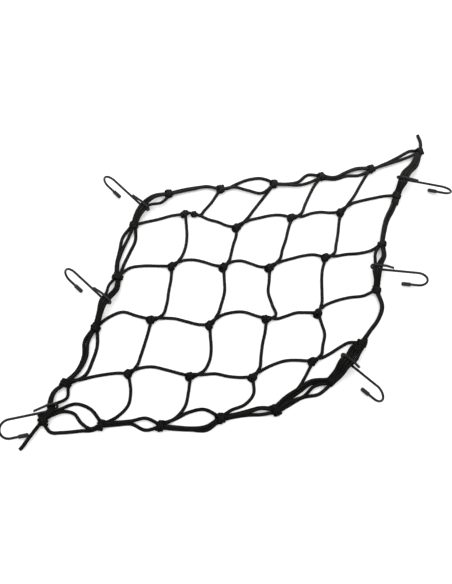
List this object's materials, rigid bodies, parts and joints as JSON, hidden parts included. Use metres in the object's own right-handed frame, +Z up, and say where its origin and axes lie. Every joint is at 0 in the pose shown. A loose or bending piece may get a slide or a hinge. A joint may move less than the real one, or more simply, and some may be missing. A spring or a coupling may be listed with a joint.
{
  "type": "elastic cargo net with wire hooks",
  "caption": "Knotted elastic cord net with wire hooks along its edge, lying slack on a flat surface.",
  "frame": {"origin": "on the surface, under the middle of the outline", "axes": "+Z up, off the surface the net lies on; +X along the rows of cells; +Y towards the row with the free cord end at its right"},
  "size_m": [0.6186, 0.4899, 0.0391],
  "materials": {
    "elastic_cord": "fine black braid",
    "coated_wire": "gloss black coating",
    "vinyl_sleeve": "satin black vinyl"
  },
  "bodies": {
    "root": {"net": "elastic_cord", "hook_1": "coated_wire", "hook_2": "coated_wire", "hook_3": "coated_wire", "hook_4": "coated_wire", "hook_5": "coated_wire", "hook_6": "coated_wire", "sleeve_1": "vinyl_sleeve", "sleeve_2": "vinyl_sleeve", "sleeve_3": "vinyl_sleeve", "sleeve_4": "vinyl_sleeve", "sleeve_5": "vinyl_sleeve", "sleeve_6": "vinyl_sleeve"}
  },
  "joints": []
}
